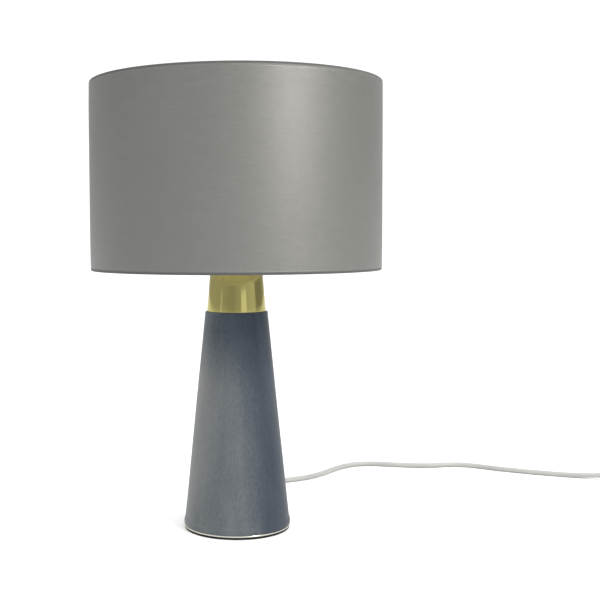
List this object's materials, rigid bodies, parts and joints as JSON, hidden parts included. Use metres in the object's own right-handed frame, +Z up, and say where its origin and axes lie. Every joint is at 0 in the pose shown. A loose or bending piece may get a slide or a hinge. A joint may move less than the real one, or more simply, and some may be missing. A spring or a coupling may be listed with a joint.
{
  "type": "table lamp",
  "caption": "Table lamp with a grey drum shade, a brass neck cone and a velvet-covered cone body on a round metal base, with a mains lead, inline switch and plug.",
  "frame": {"origin": "on the table, under the middle of the round foot pad", "axes": "+Z up along the lamp's axis; the lead leaves the back of the cone towards +Y"},
  "size_m": [0.7167, 0.434, 0.461],
  "materials": {
    "black_felt": "felt",
    "bright_steel": "polished",
    "zinc_steel": "zinc plated",
    "cast_iron": "as cast",
    "shell_metal": "primer",
    "blue_velvet": "velvet pile",
    "polished_brass": "polished",
    "contact_brass": "bright",
    "white_rubber": "matt",
    "white_plastic": "fine satin",
    "gloss_white": "gloss",
    "white_steel": "powder coat",
    "holder_ceramic": "unglazed",
    "core_insulation": "smooth",
    "shade_liner": "satin film",
    "grey_satin": "satin weave",
    "bulb_insulator": "glassy",
    "nickel": "bright",
    "opal": "opal",
    "aluminium_board": "coated"
  },
  "bodies": {
    "base": {"foot_pad": "black_felt", "base_plate": "bright_steel", "base_screws": "zinc_steel", "ballast_weight": "cast_iron", "cord_clamp": "white_plastic", "clamp_screws": "zinc_steel", "cone_shell": "shell_metal", "velvet_cover": "blue_velvet", "cord_gland": "white_rubber", "gland_nut": "white_plastic", "neck_cone": "polished_brass", "stem_tube": "zinc_steel", "stem_washer_lower": "zinc_steel", "stem_nut_lower": "zinc_steel", "stem_washer_upper": "zinc_steel", "stem_nut_upper": "zinc_steel", "holder_cap": "gloss_white", "holder_lock_screw": "zinc_steel", "holder_skirt": "gloss_white", "holder_insulator": "holder_ceramic", "terminal_screws": "contact_brass", "core_wires": "core_insulation", "screw_shell": "contact_brass", "centre_contact": "contact_brass", "inner_lead": "white_rubber", "cord_to_switch": "white_rubber", "switch_lower": "white_plastic", "switch_upper": "white_plastic", "switch_screws": "zinc_steel", "cord_to_coil": "white_rubber", "cord_coil": "white_rubber", "coil_tie": "black_felt", "cord_to_plug": "white_rubber", "plug_body": "white_plastic", "plug_pins": "nickel"},
    "shade": {"fitter_ring": "white_steel", "shade_spokes": "white_steel", "lower_wire_ring": "white_steel", "upper_wire_ring": "white_steel", "shade_liner": "shade_liner", "shade_fabric": "grey_satin"},
    "clamp_ring": {"shade_clamp_ring": "gloss_white"},
    "bulb_lift": {"bulb_contact": "nickel"},
    "bulb": {"bulb_insulator": "bulb_insulator", "bulb_cap": "nickel", "bulb_collar": "white_plastic", "led_board": "aluminium_board", "bulb_globe": "opal"},
    "rocker": {"switch_rocker": "gloss_white"}
  },
  "joints": [
    {"name": "shade_turn", "type": "hinge", "parent": "base", "child": "shade", "pos_m": [0, 0, 0.321], "axis": [0, 0, 1], "continuous": true},
    {"name": "clamp_ring_turn", "type": "hinge", "parent": "base", "child": "clamp_ring", "pos_m": [0, 0, 0.327], "axis": [0, 0, 1], "range_deg": [0, 360]},
    {"name": "bulb_lift", "type": "slide", "parent": "base", "child": "bulb_lift", "axis": [0, 0, 1], "range_m": [0, 0.01089]},
    {"name": "bulb_turn", "type": "hinge", "parent": "bulb_lift", "child": "bulb", "pos_m": [0, 0, 0.34], "axis": [0, 0, 1], "range_deg": [0, 1080]},
    {"name": "rocker_tilt", "type": "hinge", "parent": "base", "child": "rocker", "pos_m": [0.497, 0.188, 0.0125], "axis": [0.2079, 0.9781, 0], "range_deg": [-16, 0]}
  ],
  "couplings": [
    {"joint": "bulb_lift", "follows": "bulb_turn", "m_per_rad": 0.00057773}
  ]
}
